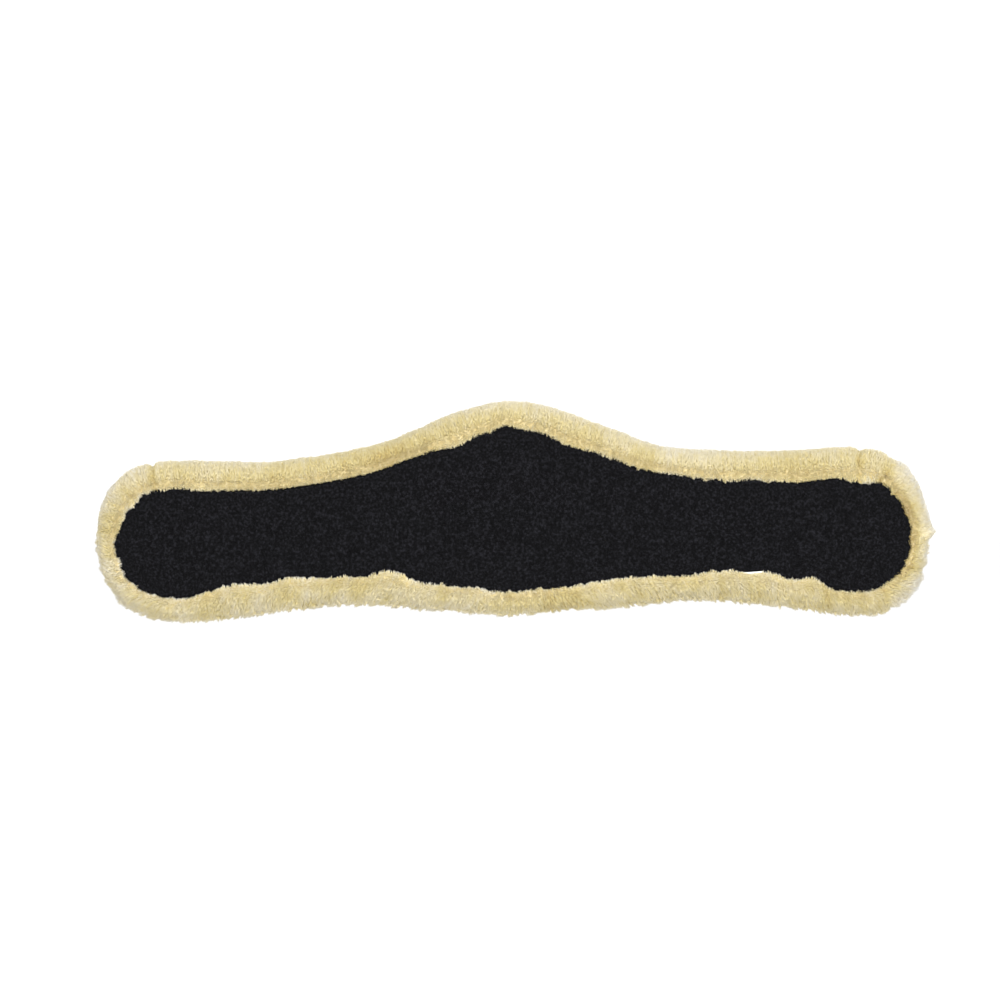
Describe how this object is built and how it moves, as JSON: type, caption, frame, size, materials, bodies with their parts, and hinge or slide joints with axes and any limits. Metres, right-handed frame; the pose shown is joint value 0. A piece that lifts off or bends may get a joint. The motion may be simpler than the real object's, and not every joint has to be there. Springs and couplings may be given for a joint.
{
  "type": "saddle girth liner",
  "caption": "Padded sheepskin liner for a short anatomical saddle girth: shaped black loop-fabric back, foam core and a rolled cream wool edge.",
  "frame": {"origin": "middle of the loop-fabric face, on its surface, below the peak of the upper edge", "axes": "+X along the liner to the right wing, +Z across it towards the peaked edge, +Y through it from the loop face to the wool face"},
  "size_m": [0.6472, 0.0258, 0.171],
  "materials": {
    "loop_fabric": "matte",
    "interlining": "matte",
    "foam": "matte",
    "hide": "satin",
    "wool": "matte",
    "black_thread": "satin",
    "cream_thread": "satin",
    "label_satin": "satin"
  },
  "bodies": {
    "centre": {"loop_panel_centre": "loop_fabric", "interlining_centre": "interlining", "foam_core_centre": "foam", "face_hide_centre": "hide", "face_wool_centre": "wool", "edge_hide_centre_top": "hide", "edge_hide_centre_bottom": "hide", "edge_wool_centre_top": "wool", "edge_wool_centre_bottom": "wool", "loop_seam_thread_centre_top": "black_thread", "loop_seam_thread_centre_bottom": "black_thread", "face_seam_thread_centre_top": "cream_thread", "face_seam_thread_centre_bottom": "cream_thread"},
    "left_wing": {"loop_panel_left": "loop_fabric", "interlining_left": "interlining", "foam_core_left": "foam", "face_hide_left": "hide", "face_wool_left": "wool", "edge_hide_left": "hide", "edge_wool_left": "wool", "loop_seam_thread_left": "black_thread", "face_seam_thread_left": "cream_thread"},
    "right_wing": {"loop_panel_right": "loop_fabric", "interlining_right": "interlining", "foam_core_right": "foam", "face_hide_right": "hide", "face_wool_right": "wool", "edge_hide_right": "hide", "edge_wool_right": "wool", "loop_seam_thread_right": "black_thread", "face_seam_thread_right": "cream_thread", "care_label": "label_satin"}
  },
  "joints": [
    {"name": "left_wing_flex", "type": "hinge", "parent": "centre", "child": "left_wing", "pos_m": [-0.13, 0, 0], "axis": [0, 0, -1], "range_deg": [-75, 60], "stiffness_Nm_per_rad": 0.15},
    {"name": "right_wing_flex", "type": "hinge", "parent": "centre", "child": "right_wing", "pos_m": [0.13, 0, 0], "axis": [0, 0, 1], "range_deg": [-75, 60], "stiffness_Nm_per_rad": 0.15}
  ]
}
